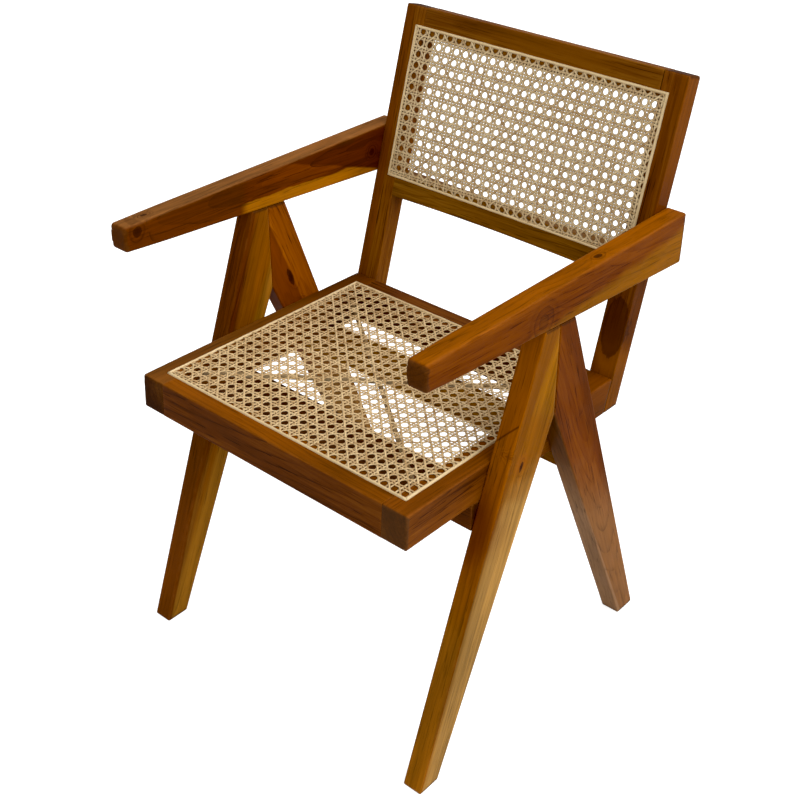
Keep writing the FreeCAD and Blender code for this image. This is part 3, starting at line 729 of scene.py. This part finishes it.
def splineRing(plane, prefix, names, seed):
    # the four sides of a ring, each from corner to corner
    boxes = [planeBox(plane, prefix + name) for name in names]
    low = np.min([box[0] for box in boxes], axis=0)[:2]
    high = np.max([box[1] for box in boxes], axis=0)[:2]
    broad = boxes[0][1][1] - boxes[0][0][1]
    outer = np.array([(low[0], low[1]), (high[0], low[1]), (high[0], high[1]), (low[0], high[1])])
    inner = outer + np.array([(1, 1), (-1, 1), (-1, -1), (1, -1)]) * broad
    for side, name in enumerate(names):
        after = (side + 1) % 4
        makeSpline(prefix + name, plane, outer[[side, after]], inner[[side, after]], seed + 3 * side)
    return {"low": low, "high": high, "broad": broad}


seatRing = splineRing(seatPlane, "seat_spline_", ("front", "left", "back", "right"), 101)
backRing = splineRing(backPlane, "back_spline_", ("bottom", "left", "top", "right"), 131)
print("splines made")

# Woven cane. One unit of the pattern is one big hole. Uprights and crosswise strands lie in pairs round
# every whole number, and weave over and under at each crossing. The slanting strands run where
# u + v or u - v is a whole number and a half, over the uprights and under the crosswise ones, or the reverse.
# A sheet is never stretched quite true: bend moves it by a plain amount, then by what grows with x, with v,
# with x times v, with x squared and with v squared, each from -1 to 1 over the sheet.
weaveShape = {"thick": 0.7, "pairWave": 0.36, "slantWave": 0.58, "gap": 0.02, "pairGap": (2.36, 2.0),
              "edge": 0.3, "margin": 9, "step": 1.7, "slantStep": 2.6, "slantBroader": 0.1}
seatWeave = {"strand": 2.65, "pitch": (15.97, 16.13), "first": (6.6, 9.6),
             "bendX": (-2.2, -0.1, -1.2, 2.1, 0, 0), "bendV": (-2.4, 4.3, 0.9, -0.4, 0, 0)}
backWeave = {"strand": 3.1, "pitch": (15.02, 15.17), "first": (1.4, 6.1),
             "bendX": (5.1, 1.7, -1.2, 0.4, -7, 4.2), "bendV": (0.4, 4.9, -2.9, -2.9, -0.2, 3.6)}

# A strand's line sways twice, its width and tone swing once: each is an amount and its wave's length in m
strandShape = {"shortest": 4, "sways": ((1, 0.19), (0.5, 0.071)), "sway": 0.16, "swaySpread": (0.4, 1.3),
               "widthSpread": (0.92, 1.07), "widthSwing": (0.03, 0.043), "toneSpread": (0.22, 0.92),
               "toneSwing": (0.08, 0.13), "grainApart": 0.37, "rodSides": 16}
ribbon = (np.array([-0.5, -0.36, 0, 0.36, 0.5, 0.3, -0.3]), np.array([0, 0.34, 0.5, 0.34, 0, -0.42, -0.42]))
rodTurn = np.linspace(0, 2 * np.pi, strandShape["rodSides"], endpoint=False)
rod = (-0.5 * np.cos(rodTurn), 0.5 * np.sin(rodTurn))


def layStrands(name, plane, starts, ends, heightAt, step, seed, broad, thick, node, material, bend=None,
               edges=None, section=ribbon):
    # strands of one section, a lens or a circle: each follows a straight line, wanders a little and rides at
    # heightAt; bend then moves its points with the sheet, and edges are the two corners that it stops at
    run = ends - starts
    length = np.linalg.norm(run, axis=1)
    kept = length > strandShape["shortest"] * mm
    starts, run, length = starts[kept], run[kept], length[kept]
    counts = np.maximum(np.round(length / (step * mm)).astype(int) + 1, 3)
    line = np.repeat(np.arange(len(counts)), counts)
    share = (np.arange(len(line)) - (np.cumsum(counts) - counts)[line]) / (counts[line] - 1)
    far = share * length[line]
    sideways = (unit(run)[:, ::-1] * (-1, 1))[line]
    rng = np.random.default_rng(seed)
    phase = rng.uniform(0, 2 * np.pi, (len(counts), 3))[line]

    def swing(amount, wave, which):
        # the amount times a sine of the way along, from a random start
        return amount * np.sin(far * 2 * np.pi / wave + phase[:, which])

    def drawn(key):
        # a random value between two limits for each strand
        return rng.uniform(*strandShape[key], len(counts))[line]

    sway = sum(swing(*part, which) for which, part in enumerate(strandShape["sways"]))
    sway = sway * strandShape["sway"] * mm * drawn("swaySpread")
    places = starts[line] + run[line] * share[:, None] + sideways * sway[:, None]
    height = heightAt(places, line)
    width = broad * mm * (drawn("widthSpread") + swing(*strandShape["widthSwing"], 2))
    tone = drawn("toneSpread") + swing(*strandShape["toneSwing"], 1)
    if bend:
        places = bend(places)
    if edges:
        kept = ((places > edges[0]) & (places < edges[1])).all(axis=1)
        kept = kept & (np.bincount(line, kept, len(counts)) > 3)[line]
        parts = (places, sideways, height, width, tone, far, line)
        places, sideways, height, width, tone, far, line = (part[kept] for part in parts)
    firsts, counts = np.unique(line, return_index=True, return_counts=True)[1:]
    across, up = section
    aside = across * width[:, None]
    flat = places[:, None] + sideways[:, None] * aside[..., None]
    points = toSpace(plane, flat[..., 0], flat[..., 1], height[:, None] + up * thick * mm).reshape(-1, 3)
    index = np.arange(len(points)).reshape(-1, len(across))
    quads = tubeFaces(index, np.nonzero(line[1:] == line[:-1])[0])
    caps = [index[firsts], index[firsts + counts - 1][:, ::-1]]
    grain = line * strandShape["grainApart"] + seed
    far, grain, tone = np.repeat([far, grain, tone], len(across), axis=1)
    marks = {"strandPlace": np.stack([far, aside.ravel(), grain], axis=1), "strandTone": tone}
    replaced = (node,) if node else ()
    return makePiece(name, points, quads, caps, marks, material, "cane", *replaced)


def cutLines(low, high, offsets, slope):
    # lines x + slope * v = offset between the sides of a rectangle; slope is +1 or -1
    xs = np.tile((low[0], high[0]), (len(offsets), 1))
    vs = np.clip((offsets[:, None] - xs) * slope, low[1], high[1])
    xs = offsets[:, None] - slope * vs
    kept = (xs[:, 0] < high[0]) & (xs[:, 1] > low[0])
    places = np.stack([xs, vs], axis=-1)[kept]
    return places[:, 0], places[:, 1]


def weaveCaneSheet(prefix, plane, ring, sheet, material, node):
    # strands are laid over a rectangle wider than the sheet, bent with it and cut at its edges
    pitch, first = (np.array(sheet[key]) * mm for key in ("pitch", "first"))
    edge, margin = weaveShape["edge"] * ring["broad"], weaveShape["margin"] * mm
    edges = ring["low"] + edge, ring["high"] - edge
    low, high = ring["low"] - margin, ring["high"] + margin
    corner, away = np.array([ring["low"][0], ring["high"][1]]), np.array([1, -1])
    origin = corner + away * (first - 0.5 * pitch)
    gap = np.array(weaveShape["pairGap"]) * mm / pitch
    thick, strand = weaveShape["thick"], sheet["strand"]
    base = (weaveShape["slantWave"] + thick / 2 + weaveShape["gap"]) * mm
    pairWave, slantWave = weaveShape["pairWave"] * mm, weaveShape["slantWave"] * mm

    def bend(places):
        # each place moved by the sum of the six bend values, each times what it grows with
        x, v = ((2 * places - ring["high"] - ring["low"]) / (ring["high"] - ring["low"])).T
        grown = np.stack([np.ones(len(x)), x, v, x * v, x * x, v * v])
        return places + (np.array([sheet["bendX"], sheet["bendV"]]) @ grown).T * mm

    def pattern(places, way):
        # how many pitches a place lies from the pattern's start
        return (places[:, way] - origin[way]) / pitch[way]

    def weaveWave(places, way):
        # a full wave at each pair of crossing strands, and flat between the pairs
        value = pattern(places, way)
        return np.sin(np.pi * np.clip((value - np.round(value)) / (2 * gap[way]), -1, 1))

    # uprights and crosswise strands, in pairs to the two sides of each whole number
    whole, sides = np.arange(-3, 40), np.array([-1, 1])
    for word, way, turn, seed in (("uprights", 0, 1, 7), ("crosswise", 1, -1, 11)):
        spots = (origin[way] + turn * (whole[:, None] + sides * gap[way]) * pitch[way]).ravel()
        inside = (spots > low[way]) & (spots < high[way])
        side = np.tile(sides, len(whole))[inside]
        starts, ends = (np.tile(end, (len(side), 1)) for end in (low, high))
        starts[:, way] = ends[:, way] = spots[inside]
        layStrands(f"{prefix}_{word}", plane, starts, ends,
                   lambda p, line: base + pairWave * side[line] * weaveWave(p, 1 - way),
                   weaveShape["step"], seed, strand, thick, None if way else node, material, bend, edges)
    # slanting strands, worked out in pattern units and then put back in metres
    halves = np.arange(-45, 46) + 0.5
    for word, slope in (("fallingSlants", 1), ("risingSlants", -1)):
        cuts = cutLines((low - origin) / pitch, (high - origin) / pitch, halves, slope)
        starts, ends = (places * pitch + origin for places in cuts)
        layStrands(f"{prefix}_{word}", plane, starts, ends,
                   lambda p, line: base + slope * slantWave * np.cos(2 * np.pi * pattern(p, 0)),
                   weaveShape["slantStep"], 13 + slope, strand + weaveShape["slantBroader"], thick, None,
                   material, bend, edges)


weaveCaneSheet("seat_weave", seatPlane, seatRing, seatWeave, seatCane, "seat_cane")
weaveCaneSheet("back_weave", backPlane, backRing, backWeave, backCanePaintedLight, "back_cane")
print("cane woven")

# The two strands that cross under the seat cane
support = {"endIn": 0.4, "step": 4}
supportCane = caneMaterial("supportCane", (214, 186, 138), (164, 128, 80), 0.5, 0.9, halfWidth=3.6, shade=0.3)
for number, node in enumerate(("support_strand_upper", "support_strand_lower")):
    low, high = planeBox(seatPlane, node)
    thick, middle = high[2] - low[2], (high[2] + low[2]) / 2
    left, right = (low[0], high[0]) if number == 0 else (high[0], low[0])
    start = np.array([[left, low[1] + support["endIn"] * thick]])
    end = np.array([[right, high[1] - support["endIn"] * thick]])
    layStrands(node + "_cane", seatPlane, start, end, lambda p, line: middle + 0 * p[:, 0], support["step"],
               211 + number, thick / mm, thick / mm, node, supportCane, section=rod)


# The hidden fixings

def fineStreakGroup():
    # a fine streak along the piece, which blends two tones
    tree, given, result = newGroup("fineStreak", {"Vector": "place", "Color": "base second"},
                                   {"Color": "colour", "Float": "streak"})
    streak = noise(tree, given["place"], (90, 900, 900), 3)
    colour = blendColour(tree, streak, given["base"], given["second"])
    feed(tree, result, {"colour": colour, "streak": streak})
    return tree


fineStreak = fineStreakGroup()


def plainMaterial(name, base, second, roughness, metal=0.0, swing=0.06):
    # a turned or drawn surface, whose roughness swings with its streak
    material, tree, shader = newMaterial(name)
    made = useGroup(tree, fineStreak, place=addNode(tree, "TexCoord").outputs["Object"],
                    base=tint(*base), second=tint(*second))
    finishShader(tree, shader, made["colour"], made["streak"], (roughness - swing, roughness + swing))
    feed(tree, shader, {"Metallic": metal})
    return material


dowelWood = plainMaterial("dowelWood", (186, 140, 84), (152, 106, 58), 0.6)
screwSteel = plainMaterial("screwSteel", (150, 148, 144), (112, 110, 108), 0.38, 1.0)
for node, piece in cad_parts.items():
    if node.endswith(("_dowels", "_screws")):
        for hole in piece.material_slots:
            hole.material = dowelWood if node.endswith("_dowels") else screwSteel
print("fixings finished")

# Floor, light and camera
studio = {"floor": (196, 196, 196), "floorRough": 0.9, "floorSize": 16, "floorGlow": 0.8, "sky": 0.25,
          "backdrop": 1, "softbox": 3.4, "softboxFrom": (0.60, 0.26, 0.76), "softboxSpread": 4,
          "fill": 0.6, "fillFrom": (-0.25, -0.95, 0.3), "fillSpread": 2, "black": 0.005, "white": 0.97}
floorMesh = bpy.data.meshes.new("studioFloor")
half = studio["floorSize"] / 2
floorCorners = [(-half, -half, 0), (half, -half, 0), (half, half, 0), (-half, half, 0)]
floorMesh.from_pydata(floorCorners, [], [(0, 1, 2, 3)])
floor = newObject("studioFloor", floorMesh)
floorPaint, floorTree, floorShader = newMaterial("floorPaint")
floorMesh.materials.append(floorPaint)
# it is lit from below as on a light table, which only the camera sees
floorSeen = addNode(floorTree, "LightPath").outputs["Is Camera Ray"]
floorGlow = calc(floorTree, "MULTIPLY", floorSeen, studio["floorGlow"])
feed(floorTree, floorShader, {
    "Base Color": tint(*studio["floor"]), "Roughness": studio["floorRough"], "Specular IOR Level": 0,
    "Emission Color": (1, 1, 1, 1), "Emission Strength": floorGlow,
})

# one broad softbox high on the right and a weak one in front, as patches of sky that fade from their middles
world = bpy.data.worlds.new("studioSky")
scene.world = world
world.use_nodes = True
sky = world.node_tree
lookUp = addNode(sky, "TexCoord").outputs["Generated"]
lit = studio["sky"]
for light in ("softbox", "fill"):
    upon = vectorCalc(sky, "DOT_PRODUCT", lookUp, Vector(studio[light + "From"]).normalized()[:])
    patch = calc(sky, "POWER", calc(sky, "MAXIMUM", upon, 0.0), studio[light + "Spread"])
    lit = calc(sky, "MULTIPLY_ADD", patch, studio[light], lit)
seen = addNode(sky, "LightPath").outputs["Is Camera Ray"]
shown = calc(sky, "MULTIPLY_ADD", seen, calc(sky, "SUBTRACT", studio["backdrop"], lit), lit)
feed(sky, sky.nodes["Background"], {"Color": (1, 1, 1, 1), "Strength": shown})

# the picture's own contrast: plain colours, with the deepest shade let go to black and the floor to white
picture = scene.view_settings
picture.view_transform = "Standard"
picture.use_curve_mapping = True
picture.curve_mapping.black_level = [studio["black"]] * 3
picture.curve_mapping.white_level = [studio["white"]] * 3
picture.curve_mapping.update()

cameraPlace = {"place": (0.997958, -1.213631, 1.385340), "looks": (-0.575174, 0.638769, -0.511028),
               "sensor": 36, "lens": 61.384, "shift": (0.05321, -0.07248)}
lens = bpy.data.cameras.new("photoCamera")
lens.sensor_width = cameraPlace["sensor"]
lens.lens = cameraPlace["lens"]
lens.shift_x, lens.shift_y = cameraPlace["shift"]
camera = newObject("photoCamera", lens)
camera.location = cameraPlace["place"]
camera.rotation_euler = Vector(cameraPlace["looks"]).to_track_quat("-Z", "Y").to_euler()
scene.camera = camera
print("stage, lights and camera set")
